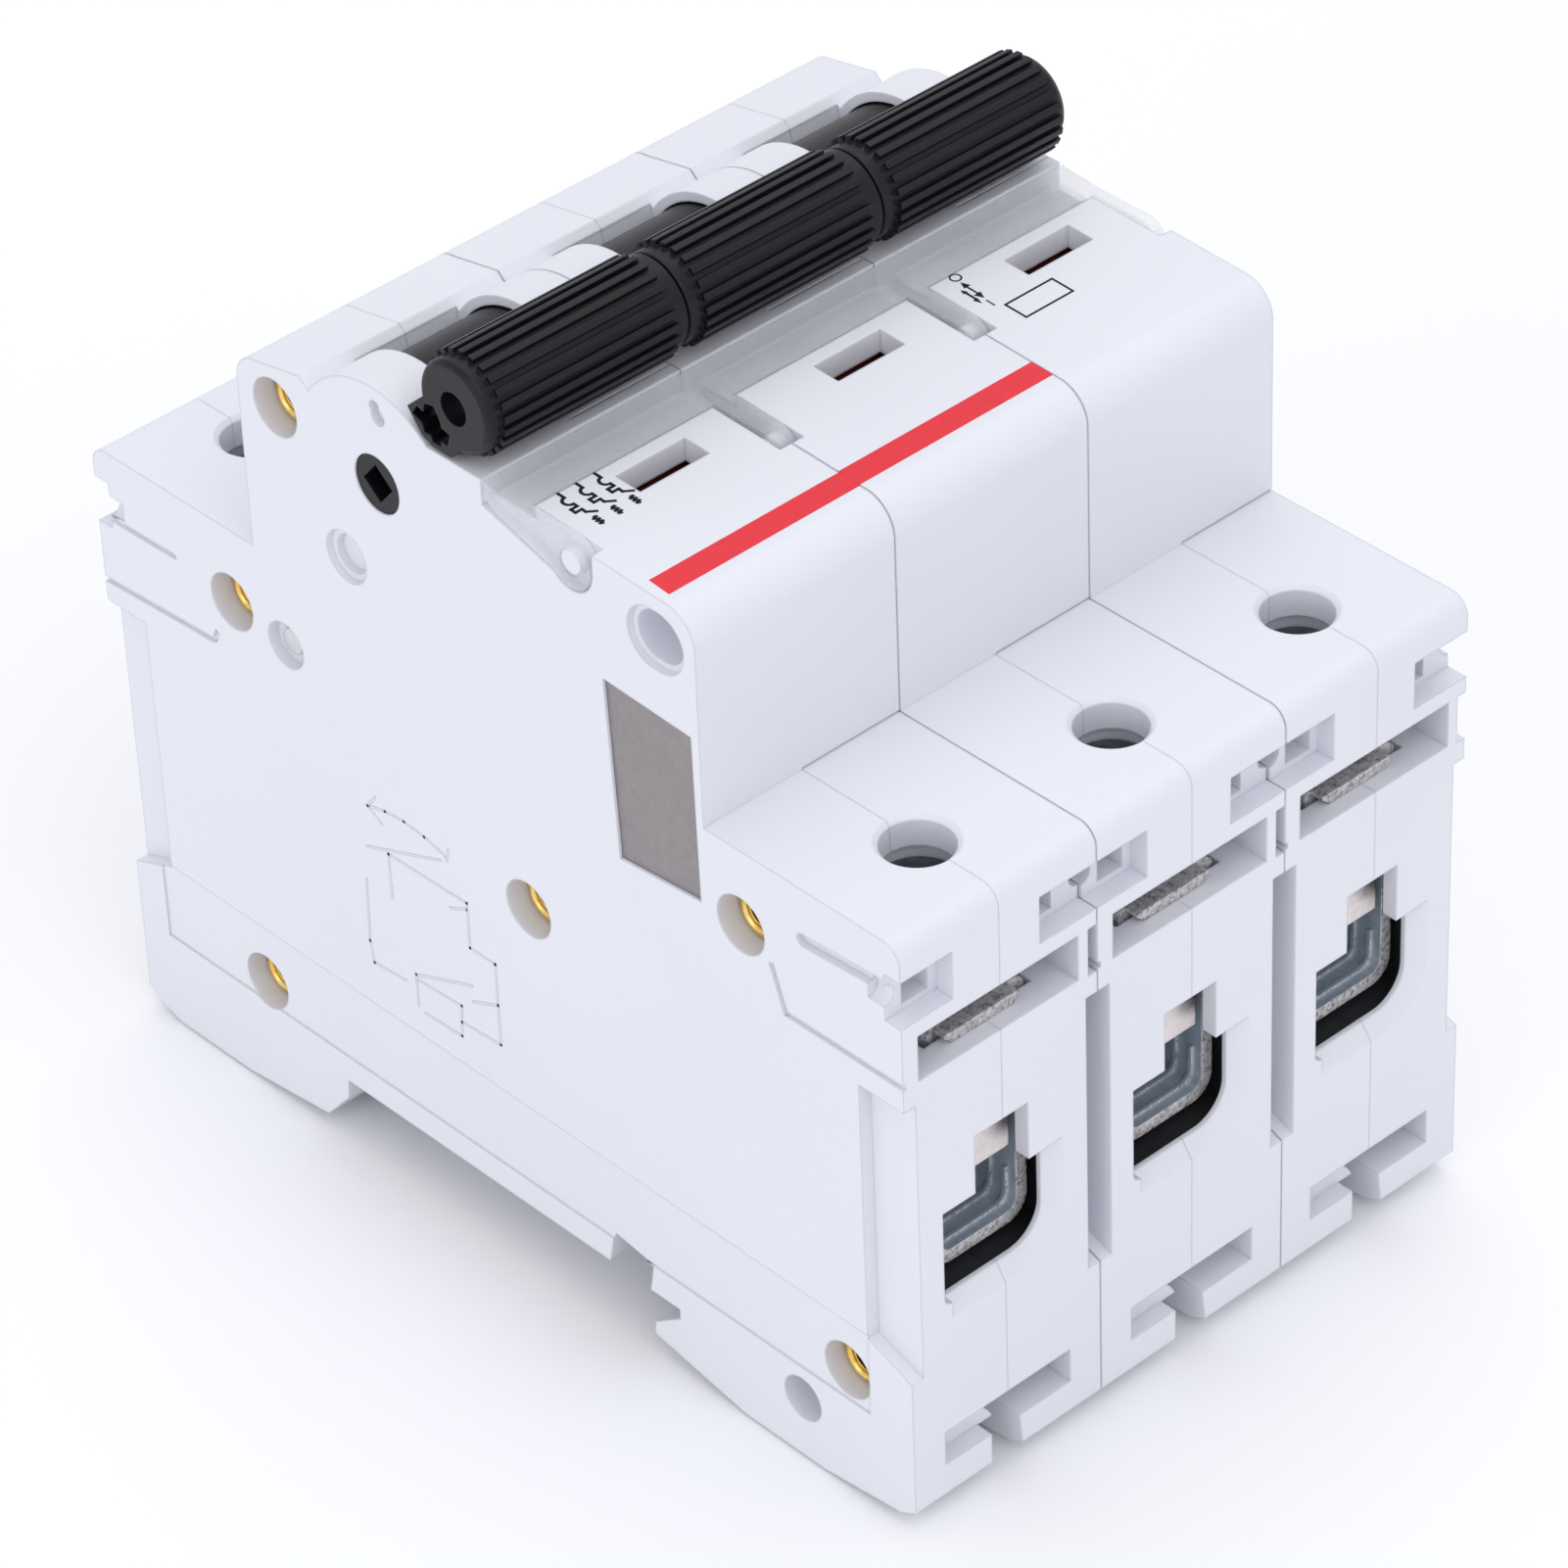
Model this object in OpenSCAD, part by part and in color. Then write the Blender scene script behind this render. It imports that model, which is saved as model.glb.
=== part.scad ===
// Three pole miniature circuit breaker for a 35 mm rail.
// X runs along the rail, Y from one terminal end to the other, Z from the rail side up to the handle.
// The origin is under the middle of the body, on the surface it stands on.

/* [Body] */
// Spacing of the poles along the rail
pole_pitch = 17.7; // [17.5:0.1:18]
// Width of one pole's moulded case
pole_w = 17.6; // [17.4:0.05:17.6]
// Length of the case from terminal end to terminal end
body_len = 81.2; // [80.4:0.2:82]
// Height of the terminal shoulders above the base
shoulder_z = 50; // [49.6:0.1:50.6]
// Thickness of the case's side walls
side_wall = 1.4; // [1.2:0.1:1.6]
// Height of the face that rests on the rail
rail_face_z = 5.72; // [5.6:0.02:5.8]

/* [Nose] */
// Front face of the raised nose
nose_front_y = -22.4; // [-22.8:0.1:-22]
// Back face of the raised nose
nose_back_y = 23; // [22.6:0.1:23.4]
// Height of the nose behind its rounded front edge
nose_front_z = 66.6; // [66.2:0.1:67]
// Height of the flat below the handle
plateau_z = 67.6; // [67.3:0.1:67.7]

/* [Handle] */
// Radius of the drum that turns in the case
drum_r = 7; // [6.8:0.05:7]
// Distance from the drum's axis to the grip's axis
handle_arm = 13.25; // [13.1:0.05:13.4]
// Lean of the handle from upright in the on position
handle_lean = 40.5; // [40:0.5:41]
// Radius over the ribs of a grip
grip_r = 3.85; // [3.6:0.05:3.85]
// Number of ribs around a grip
grip_ribs = 24; // [20:2:26]

/* [Terminals] */
// Distance of a terminal screw from the middle of the body
screw_y = 33.2; // [33:0.1:33.4]
// Radius of a terminal screw's thread
screw_r = 2.4; // [2.2:0.05:2.4]
// Outer width of a clamping cage
cage_w = 8.9; // [8.5:0.1:9]
// Height of the underside of a cage when it is fully open
cage_z = 18.9; // [18.6:0.1:19]

/* [Hidden] */

$fn = 64;
eps = 0.01;
half_w = pole_w / 2;
half_len = body_len / 2;
cavity_x = half_w - side_wall;
end_wall = 1.3;
edge_r = 1.5;
front_edge_r = 2.6;
back_edge_r = 2.2;

// Mouth of the cable window, with the ramp that leads into it
window_z = 26.15;
mouth_corner = [1.4, 20.9];
mouth_r = 2.8;
mouth_left = -5.6;
ramp_depth = 0.9;
ramp_spread = 1.3;
ramp_slope = ramp_spread / ramp_depth;

// Handle drum, in the plane across the rail
drum_y = 8.75;
drum_z = 61.95;
hub_r = 2.2;
hood_r = 7.87;
hood_x = 4.5;
trench_x = 4.5;
grip_y = drum_y - handle_arm * sin(handle_lean);
grip_z = drum_z + handle_arm * cos(handle_lean);
grip_len = 15.3;
collar_r = grip_r - 0.4;
rib_w = 0.5;

// Through rivets, as [y, z]
rivet_at = [[19.1, 63.2], [26, 43.7], [-4, 33.2], [26.3, 9.9], [-25.6, 43.8], [-34.2, 10.5]];
rivet_r = 1.5;
rivet_head_r = 2.1;
rivet_sink_r = 2.25;
rivet_sink = 2.2;
boss_r = 2.9;

// Label cover
cover_pin = [-10.6, 65.2];
cover_lug_r = 2;
cover_arm_t = 0.85;
pocket_y0 = -6.3;
pocket_y1 = -2.1;
pocket_z = 66;
cover_back_y = -2.35;

// Contact system
carrier_at = [-7, 43.5];
carrier_pin_r = 1.4;
trip_at = [20.3, 42.9];
coil_y0 = -3;
coil_y1 = 11;
coil_z = 21.5;
strip_z0 = 29.8;
strip_z1 = 31.2;
lip_z = 25.7;
link_top = [10, 64.82];
link_low = [-1.75, 48.14];

// Terminal clamps
cage_t = 1;
cage_y0 = 28.2;
cage_y1 = 38.15;
cage_top = 39.4;
cage_plate_t = 1.2;
screw_tip_z = 31.3;
screw_head_z = 44.75;
screw_head_r = 3;
screw_head_h = 1.6;

// Rail clip
clip_z0 = 4.4;
clip_z1 = 7;

function pole_x(k) = (k - 2) * pole_pitch;

// Extrudes a [y, z] profile along X from x0 to x1
module slab(x0, x1) {
    translate([x0, 0, 0]) rotate([90, 0, 90]) linear_extrude(x1 - x0) children();
}

// Extrudes an [x, z] profile along Y from y0 to y1
module wall_cut(y0, y1) {
    translate([0, y1, 0]) rotate([90, 0, 0]) linear_extrude(y1 - y0) children();
}

module rod_x(at, r, x0, x1) {
    translate([x0, at[0], at[1]]) rotate([0, 90, 0]) cylinder(r = r, h = x1 - x0);
}

module rod_y(x, z, r, y0, y1) {
    translate([x, y0, z]) rotate([-90, 0, 0]) cylinder(r = r, h = y1 - y0);
}

module box(p0, p1) {
    translate(p0) cube(p1 - p0);
}

module rect(p0, p1) {
    translate(p0) square(p1 - p0);
}

module disc(at, r) {
    translate(at) circle(r);
}

module bar(a, b, t) {
    len = norm(b - a);
    translate(a) rotate(atan2(b[1] - a[1], b[0] - a[0])) translate([0, -t / 2]) square([len, t]);
}

// ---------- case ----------

// Foot with the fixed rail hook at the front and the lead-in slope at the back
module foot_outline() {
    polygon([[-half_len, 1.7], [-39.2, 0.9], [-31.8, 0], [-23.9, 0], [-14.65, 1.75], [-14.75, 2.85],
        [-17.4, 4.72], [-17.4, 5.6], [-14.45, 5.6], [-14.85, 7.9], [-10.9, 8.5], [-10.3, rail_face_z],
        [17.6, rail_face_z], [17.8, 4], [20.3, 1.1], [29.2, 0], [37.1, 0], [39.6, 0.8], [half_len, 1.7],
        [half_len, 20], [-half_len, 20]]);
}

module side_outline() {
    foot_outline();
    rect([-half_len, 19], [half_len, shoulder_z - edge_r]);
    rect([-half_len + edge_r, 40], [half_len - edge_r, shoulder_z]);
    for (y = [-half_len + edge_r, half_len - edge_r]) disc([y, shoulder_z - edge_r], edge_r);
    nose_outline();
}

module nose_outline() {
    polygon([[nose_front_y, 49], [nose_back_y, 49], [nose_back_y, nose_front_z - 0.4 - back_edge_r],
        [nose_back_y - back_edge_r, nose_front_z - 0.4], [16.2, 67.1], [15.2, 66.2], [14.5, 67.1],
        [14, plateau_z], [pocket_y1, plateau_z], [pocket_y1, pocket_z], [pocket_y0, pocket_z],
        [pocket_y0, 67.1], [nose_front_y + front_edge_r, nose_front_z],
        [nose_front_y, nose_front_z - front_edge_r]]);
    disc([nose_front_y + front_edge_r, nose_front_z - front_edge_r], front_edge_r);
    disc([nose_back_y - back_edge_r, nose_front_z - 0.4 - back_edge_r], back_edge_r);
}

module cavity_outline() {
    difference() {
        union() {
            rect([-26.6, 8.7], [26.6, 48]);
            rect([nose_front_y + 1.8, 47], [nose_back_y - 2, 64.6]);
        }
        for (p = rivet_at) disc(p, boss_r);
    }
}

// Opening in the top of the nose that the handle swings through
module trench_outline() {
    polygon([[-0.4, 70], [-0.4, 66.4], [3, 60], [14, 60], [15.6, 66.4], [15.6, 70]]);
}

module cover_groove() {
    disc(cover_pin, cover_lug_r + 0.15);
    polygon([[-11.4, 63.2], [-8, 64], [-2.4, 65.5], [pocket_y1, 65.6],
        [pocket_y1, 69], [-12.8, 69], [-12.8, 65]]);
}

// Window in the end wall: a slot above, a wide mouth below and a ramp along its right and lower edges
module cage_window() {
    corner_r = mouth_r + ramp_spread;
    right_x = mouth_corner[0] + mouth_r;
    low_z = mouth_corner[1] - mouth_r;
    inner_y = -half_len + ramp_depth;
    wall_cut(-half_len - 1, -half_len + end_wall + eps) {
        rect([-2.6, 24], [2.3, 31]);
        rect([mouth_left, mouth_corner[1]], [right_x, window_z]);
        rect([mouth_left, low_z + 0.7], [mouth_corner[0], window_z]);
        rect([mouth_left + 0.7, low_z], [mouth_corner[0], window_z]);
        disc([mouth_left + 0.7, low_z + 0.7], 0.7);
        disc(mouth_corner, mouth_r);
    }
    translate([0, 0, mouth_corner[1]]) linear_extrude(window_z - mouth_corner[1]) {
        polygon([[mouth_corner[0], -half_len - 1], [right_x + ramp_spread + ramp_slope, -half_len - 1],
            [right_x, inner_y], [mouth_corner[0], inner_y]]);
    }
    slab(mouth_left + 0.7, mouth_corner[0]) {
        polygon([[-half_len - 1, mouth_corner[1]], [-half_len - 1, low_z - ramp_spread - ramp_slope],
            [inner_y, low_z], [inner_y, mouth_corner[1]]]);
    }
    translate([mouth_corner[0], -half_len - 1, mouth_corner[1]]) rotate([-90, 0, 0]) {
        cylinder(r1 = corner_r + ramp_slope, r2 = mouth_r, h = 1 + ramp_depth);
    }
}

// Everything that is cut from the front terminal end of one pole
module terminal_cuts() {
    cage_window();
    box([-5.8, -half_len + end_wall, 17.4], [5.8, -27.9, 37.6]);
    box([-4.9, -38.4, 37.5], [4.9, -27.9, 42.3]);
    box([-4.65, -38.4, 42], [4.65, -27.9, 44.7]);
    box([-3.9, -39.4, 42], [3, -38.3, 44.7]);
    box([-7.4, -half_len - 1, 38.5], [7.1, -35, 42.2]);
    translate([0, -screw_y, 44.6]) cylinder(r = 3.2, h = 2.9);
    translate([0, -screw_y, 47]) cylinder(r = 2.6, h = 4);
    translate([0, -screw_y, shoulder_z - 0.35]) cylinder(r1 = 2.6, r2 = 2.95, h = 0.36);
    box([-3.1, -28.1, strip_z0 - 0.2], [3.1, -26.5, strip_z1 + 0.2]);
    comb_recess();
    box([8, -half_len - 1, 38.3], [half_w + 1, -37.9, 42.2]);
    for (s = [-1, 1]) scale([s, 1, 1]) end_rebate();
}

// Recess that runs on into the next pole, with the deeper pockets in its back wall
module comb_recess() {
    box([-half_w - 1, -half_len - 1, 43.5], [-4.2, -39.1, 47.3]);
    box([3.65, -half_len - 1, 43.5], [half_w + 1, -38.9, 47.3]);
    box([-7.3, -39.2, 44], [-5, -37, 47.3]);
    box([4.9, -39, 44], [6.3, -37.4, 46.8]);
    for (s = [-1, 1]) rod_y(s * half_w, 45.4, 0.85, -39.2, -37.6);
}

// Shallow rebate in both side faces beside the cage
module end_rebate() {
    slab(half_w - 1.05, half_w + 1) polygon([[-half_len - 1, 12.6], [-half_len, 13.2],
        [-36.4, 14.8], [-36.4, 36.6], [-half_len - 1, 36.6]]);
}

module clip_slot() {
    box([-5.9, -half_len - 1, 4.25], [5.9, -35, 7.15]);
    wall_cut(-half_len - 1, -35) polygon([[-1.6, -1], [1.6, -1], [1, 4.5], [-1.6, 4.5]]);
}

module rail_clip_channel() {
    box([-5.9, 20, clip_z0 - 0.15], [5.9, half_len + 1, clip_z1 + 0.15]);
    box([-5.1, 15, 2.5], [5.1, 26.4, clip_z0 + 0.2]);
    wall_cut(35, half_len + 1) polygon([[-1.6, -1], [1.6, -1], [1, 4.5], [-1.6, 4.5]]);
}

module oval_outline(r) {
    disc([-18.95, 63.1], r);
    disc([-18.3, 63.1], r);
    rect([-18.95, 63.1 - r], [-18.3, 63.1 + r]);
}

// Marks and holes that both outer faces of a pole share
module side_holes() {
    rod_x([12.7, 54.1], 2.05, half_w - 0.5, half_w + 1);
    rod_x([12.7, 54.1], 1.5, half_w - 1.05, half_w + 1);
    rod_x(trip_at, 1.05, cavity_x - 1, half_w + 1);
    rod_x(trip_at, 1.85, half_w - 0.9, half_w + 1);
    rod_x([-29.7, 5.2], 1.8, half_w - 3, half_w + 1);
    slab(half_w - 0.5, half_w + 1) oval_outline(2.35);
    slab(half_w - 3, half_w + 1) oval_outline(1.85);
    rod_x([drum_y, drum_z], hub_r + 0.05, 0, half_w + 1);
    slab(half_w - 0.6, half_w + 1) {
        disc([8.4, 68.3], 0.5);
        disc([8.1, 67.6], 0.65);
    }
    slab(half_w - 0.5, half_w + 1) {
        bar([-39, 46.3], [-31.5, 45.8], 1);
        disc([-31.5, 45.8], 0.5);
    }
    slab(half_w - 0.25, half_w + 1) {
        bar([-half_len - 1, 38.7], [-29.7, 38.7], 0.45);
        bar([-29.7, 38.5], [-28.4, 42.2], 0.45);
        bar([28.4, 39.2], [half_len + 1, 38.4], 0.45);
        bar([28.4, 39.2], [28, 40.2], 0.45);
        bar([32, 44.5], [39.6, 44.3], 0.45);
    }
    slab(half_w - 0.15, half_w + 1) rect([-36.4, 8], [37.5, 15]);
}

// One half of a pole's case: s is -1 for the left half and 1 for the right half
module shell_half(s, rivet_sinks) {
    difference() {
        union() {
            difference() {
                union() {
                    scale([s, 1, 1]) slab(0, half_w) side_outline();
                    scale([s, 1, 1]) slab(hood_x, half_w) disc([drum_y, drum_z], hood_r);
                }
                scale([s, 1, 1]) slab(-1, cavity_x) cavity_outline();
                scale([s, 1, 1]) slab(-1, cavity_x) disc([drum_y, drum_z], drum_r + 0.15);
                scale([s, 1, 1]) slab(-1, trench_x) trench_outline();
                terminal_cuts();
                scale([1, -1, 1]) terminal_cuts();
                clip_slot();
                rail_clip_channel();
                scale([s, 1, 1]) slab(half_w - cover_arm_t - 0.15, half_w + 1) cover_groove();
                indicator_window();
                if (rivet_sinks) scale([s, 1, 1]) {
                    for (p = rivet_at) rod_x(p, rivet_sink_r, half_w - rivet_sink, half_w + 1);
                }
            }
            scale([s, 1, 1]) rod_x(carrier_at, carrier_pin_r, 0.3, cavity_x + 0.5);
            scale([s, 1, 1]) rod_x(cover_pin, 0.95, half_w - 2, half_w - 0.1);
            scale([s, 1, 1]) slab(half_w - 3.45, cavity_x + 0.5) oval_outline(2.6);
        }
        scale([s, 1, 1]) side_holes();
        for (p = rivet_at) rod_x(p, rivet_r + 0.02, -half_w - 1, half_w + 1);
    }
}

module indicator_window() {
    box([-1.9, -9.9, 64], [4.2, -7.5, 68]);
    box([-2.8, -11, 64], [5.4, -6.7, 65.2]);
}

// Rib inside the front clip slot
module slot_lug() {
    intersection() {
        rod_y(-3.3, 3, 3.3, -39.2, -35);
        box([-5.9, -39.3, 4.2], [-0.05, -34.9, 7.15]);
    }
}

// Part of the nose that is moulded in one piece with the left half
module nose_front_space(gap) {
    box([0, nose_front_y - 1, shoulder_z + gap], [half_w + 1, -1 - gap, 70]);
}

module left_shell(k) {
    color([0.89, 0.9, 0.94]) translate([pole_x(k), 0, 0]) {
        difference() {
            union() {
                shell_half(-1, k == 1);
                intersection() {
                    shell_half(1, k == 3);
                    nose_front_space(0.1);
                }
            }
            if (k == 1) slab(-half_w - 1, -half_w + 0.7) plate_outline();
        }
        slot_lug();
    }
}

module right_shell(k) {
    color([0.89, 0.9, 0.94]) translate([pole_x(k), 0, 0]) difference() {
        shell_half(1, k == 3);
        box([-1, nose_front_y - 1, shoulder_z], [half_w + 1, -1, 70]);
    }
}

module plate_outline() {
    polygon([[-21.6, 56.9], [-13.2, 57.3], [-13.9, 42.9], [-21.8, 43.6]]);
}

module side_plate() {
    color([0.62, 0.6, 0.6]) translate([pole_x(1), 0, 0]) slab(-half_w + 0.2, -half_w + 0.7) plate_outline();
}

module assembly_rivets() {
    outer = pole_x(3) + half_w - rivet_sink;
    color([0.85, 0.65, 0.2]) for (p = rivet_at) difference() {
        union() {
            rod_x(p, rivet_r, -outer, outer);
            for (s = [-1, 1]) scale([s, 1, 1]) rod_x(p, rivet_head_r, outer, outer + 0.4);
        }
        rod_x(p, rivet_r - 0.45, -outer - 1, outer + 1);
    }
}

// ---------- label cover ----------

// One paper label for each pole, held under the cover
module label_strips() {
    color([0.72, 0.73, 0.75]) for (k = [1 : 3]) translate([pole_x(k), 0, 0]) {
        box([-7.8, pocket_y0 + 0.1, pocket_z], [7.8, cover_back_y - 0.8, pocket_z + 0.25]);
    }
}

module cover_arm_outline() {
    disc(cover_pin, cover_lug_r);
    polygon([[-11, 63.3], [-8, 64.2], [cover_back_y - 0.8, 65.7], [cover_back_y, 66.4], [cover_back_y, 67.5],
        [-6.2, 67.2], [-10.6, 67.2]]);
}

module label_cover() {
    outer = pole_x(3) + half_w;
    joints = [for (k = [1, 2]) pole_x(k) + pole_pitch / 2];
    color([0.8, 0.83, 0.86, 0.35]) difference() {
        union() {
            slab(-outer, outer) polygon([[pocket_y0 + 0.1, 66.5], [cover_back_y - 0.7, 66.8],
                [cover_back_y - 0.7, 66.1], [cover_back_y, 66.1], [cover_back_y, 67.5],
                [pocket_y0 + 0.1, 67.2]]);
            for (s = [-1, 1]) scale([s, 1, 1]) slab(outer - cover_arm_t, outer) cover_arm_outline();
            for (x = joints) slab(x - cover_arm_t, x + cover_arm_t) cover_arm_outline();
        }
        rod_x(cover_pin, 1, -outer - 1, outer + 1);
    }
}

// ---------- handle ----------

module grip_outline() {
    circle(grip_r - 0.42);
    for (i = [0 : grip_ribs - 1]) rotate(i * 360 / grip_ribs) {
        translate([0, -rib_w / 2]) square([grip_r, rib_w]);
    }
}

// Turned collar about the grip's axis from x0 to x1, its rim at x1 rounded
module grip_collar(x0, x1, round_r) {
    translate([x0, grip_y, grip_z]) rotate([0, 90, 0]) rotate_extrude() {
        square([collar_r, x1 - x0 - round_r]);
        square([collar_r - round_r, x1 - x0]);
        intersection() {
            translate([collar_r - round_r, x1 - x0 - round_r]) circle(round_r);
            square([collar_r, x1 - x0]);
        }
    }
}

// Lug on the outer end of the tied grips, with the toothed socket that takes an operating rod
module rod_lug() {
    polygon([[4.9, 70.1], [2.9, 71.9], [-1.2, 69.9], [0.7, 67.95], [2.6, 67.95], [3.6, 68.4]]);
}

module rod_socket() {
    polygon([[4.4, 69.75], [3.9, 70.55], [3.3, 70.35], [3.1, 71.1], [2.2, 71.3], [1.7, 70.5],
        [1.5, 69.9], [0.7, 69.7], [1, 68.75], [1.6, 68.8], [1.7, 68.35], [2.5, 68.35],
        [2.7, 68.8], [3.3, 68.75], [3.5, 69.4]]);
}

module toggle(k) {
    drum = [drum_y, drum_z];
    grip = [grip_y, grip_z];
    end_x = pole_pitch / 2 - 0.06;
    color([0.11, 0.11, 0.13]) translate([pole_x(k), 0, 0]) difference() {
        union() {
            slab(-cavity_x + 0.2, cavity_x - 0.2) disc(drum, drum_r);
            rod_x(drum, hub_r, -half_w + 0.1, half_w - 0.1);
            slab(-4.2, 4.2) bar(drum, grip, 4.4);
            scale([-1, 1, 1]) grip_collar(0, end_x, (k == 1) ? 0.5 : 0.15);
            grip_collar(0, end_x, (k == 3) ? 1.14 : 0.15);
            slab(-grip_len / 2, grip_len / 2) translate(grip) rotate(handle_lean) grip_outline();
            if (k == 1) slab(-end_x, -end_x + 1.9) rod_lug();
        }
        for (s = [-1, 1]) scale([s, 1, 1]) slab(half_w - 4, half_w + 1) translate(drum) rotate(handle_lean)
            square(2.1, center = true);
        if (k == 1) slab(-half_w - 1, -end_x + 3) rod_socket();
        rod_x(grip, 1.25, -pole_w, (k == 3) ? half_w - 4 : pole_w);
        rod_x(link_top, 0.75, -5.2, 2.4);
        slab(-2.4, 2.4) link_sweep();
    }
}

// Space that the links sweep inside the drum
module link_sweep() {
    disc(link_top, 1.5);
    polygon([link_top + [-1.23, 0.86], link_top + [-9.3, -10.6],
        link_top + [10.1, -9.8], link_top + [1.15, 0.96]]);
}

module handle_tie_pin() {
    color([0.7, 0.7, 0.72]) rod_x([grip_y, grip_z], 1.25, pole_x(1) - half_w + 1.7, pole_x(3) + half_w - 4);
}

// Wire links between the handle drums and the contact carriers
module handle_links() {
    color([0.66, 0.66, 0.68]) for (k = [1 : 3]) translate([pole_x(k), 0, 0]) {
        rod_x(link_top, 0.7, -5, 2.2);
        slab(1, 2.2) {
            bar(link_top, link_low, 1.4);
            disc(link_top, 0.7);
            disc(link_low, 0.7);
        }
        rod_x(link_low, 0.7, -3, 2.2);
    }
}

// ---------- contacts ----------

module contact_carrier(k) {
    color([0.8, 0.78, 0.7]) translate([pole_x(k), 0, 0]) difference() {
        slab(-3.6, 3.6) {
            disc(carrier_at, 3.6);
            bar(carrier_at, link_low, 5);
            disc(link_low, 2.6);
        }
        rod_x(carrier_at, carrier_pin_r + 0.05, -5, 5);
        rod_x(link_low, 1.25, -5, 5);
        slab(-2.25, 2.25) contact_arm_outline();
        slab(0.7, 2.5) rect([-5, 45.4], [3, 54]);
    }
}

module contact_arm_outline() {
    polygon([[-8.6, 40.2], [-10.4, 41.9], [-18, 35.6], [-18, 33.9], [-14.4, 33.9]]);
}

module moving_contact(k) {
    color([0.75, 0.45, 0.3]) translate([pole_x(k), 0, 0]) {
        slab(-2.2, 2.2) contact_arm_outline();
        translate([0, -16, 32.7]) cylinder(r = 1.9, h = 1.5);
    }
}

// Feeds the fixed contact and leads the arc into the chute
module line_terminal(k) {
    color([0.78, 0.66, 0.6]) translate([pole_x(k), 0, 0]) {
        slab(-2.8, 2.8) polygon([[-38.2, lip_z], [-37, lip_z], [-37, strip_z0], [-13.6, strip_z0],
            [-9.4, 27.8], [-8.8, 28.8], [-13, strip_z1], [-38.2, strip_z1]]);
        translate([0, -16, strip_z1 - 0.2]) cylinder(r = 1.9, h = 1.7);
    }
}

module load_terminal(k) {
    color([0.78, 0.66, 0.6]) translate([pole_x(k), 0, 0]) slab(-2.8, 2.8) polygon([[38.2, lip_z], [37, lip_z],
        [37, strip_z0], [26.3, strip_z0], [26.3, 13.6], [25.1, 13.6], [25.1, strip_z1], [38.2, strip_z1]]);
}

module bimetals() {
    color([0.72, 0.7, 0.62]) for (k = [1 : 3]) translate([pole_x(k), 0, 0]) {
        slab(-2.5, 2.5) polygon([[25.1, 13.8], [25.1, 16.4], [23, 16.4], [23, 38], [22, 38], [22, 13.8]]);
    }
}

// Splitter plates between two fibre cheeks
module arc_chute(k) {
    color([0.5, 0.48, 0.46]) translate([pole_x(k), 0, 0]) {
        for (i = [0 : 8]) difference() {
            box([-5.2, -25.2, 10.2 + i * 1.9], [5.2, -9, 11.1 + i * 1.9]);
            translate([0, -8.2, 9 + i * 1.9]) cylinder(r = 2.2, h = 3);
        }
        for (s = [-1, 1]) scale([s, 1, 1]) box([5.1, -25.4, 9.6], [6.2, -9.4, 26.9]);
    }
}

// ---------- trip unit ----------

module trip_coil(k) {
    turns = 6;
    turn_d = (coil_y1 - coil_y0) / turns;
    color([0.76, 0.42, 0.24]) translate([pole_x(k), coil_y0, coil_z]) rotate([-90, 0, 0]) rotate_extrude() {
        rect([2.7, 0], [5, coil_y1 - coil_y0]);
        for (i = [0 : turns - 1]) disc([4.9, (i + 0.5) * turn_d], turn_d / 2 - eps);
    }
}

module coil_yokes() {
    color([0.6, 0.62, 0.65]) for (k = [1 : 3]) translate([pole_x(k), 0, 0]) difference() {
        slab(-5.2, 5.2) {
            rect([coil_y0 - 1.5, 13.4], [coil_y1 + 1.5, 14.8]);
            rect([coil_y0 - 1.5, 13.4], [coil_y0 - 0.1, 28]);
            rect([coil_y1 + 0.1, 13.4], [coil_y1 + 1.5, 28]);
        }
        rod_y(0, coil_z, 2.4, coil_y0 - 3, coil_y1 + 3);
    }
}

module plunger(k) {
    color([0.55, 0.57, 0.6]) translate([pole_x(k), 0, 0]) {
        rod_y(0, coil_z, 2.3, coil_y0 + 2.5, coil_y1 + 2.6);
        rod_y(0, coil_z, 0.8, coil_y1 + 2.5, coil_y1 + 4.2);
    }
}

// Released by the plunger or by the bimetal's hook
module trip_lever(k) {
    color([0.85, 0.82, 0.74]) translate([pole_x(k), 0, 0]) difference() {
        slab(-2, 2) {
            disc(trip_at, 2.4);
            bar(trip_at, [18.7, 34], 2.2);
            rect([18, 19], [19.4, 35]);
            polygon([[18, 38.6], [23.9, 38.6], [23.9, 36.4], [25, 36.4], [25, 39.9], [18.6, 41]]);
            bar(trip_at, [15.2, 50.4], 2);
        }
        rod_x(trip_at, 1, -3, 3);
    }
}

module trip_bar() {
    color([0.4, 0.4, 0.42]) rod_x(trip_at, 1, pole_x(1) - half_w + 0.6, pole_x(3) + half_w - 0.6);
}

// Slides under the window in the nose: one half shows when on, the other when off
module flag(k) {
    color([0.75, 0.12, 0.12]) translate([pole_x(k), 0, 0]) {
        box([-2.6, -15.5, 63.4], [5.2, -5.6, 64.4]);
        box([-1, -15.5, 57], [1, -14.2, 63.5]);
    }
}

// ---------- terminals ----------

// Upright outline with rounded lower corners
module cup_outline(half, z0, z1, r) {
    rect([-half + r, z0], [half - r, z1]);
    rect([-half, z0 + r], [half, z1]);
    for (x = [-half + r, half - r]) disc([x, z0 + r], r);
}

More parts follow.
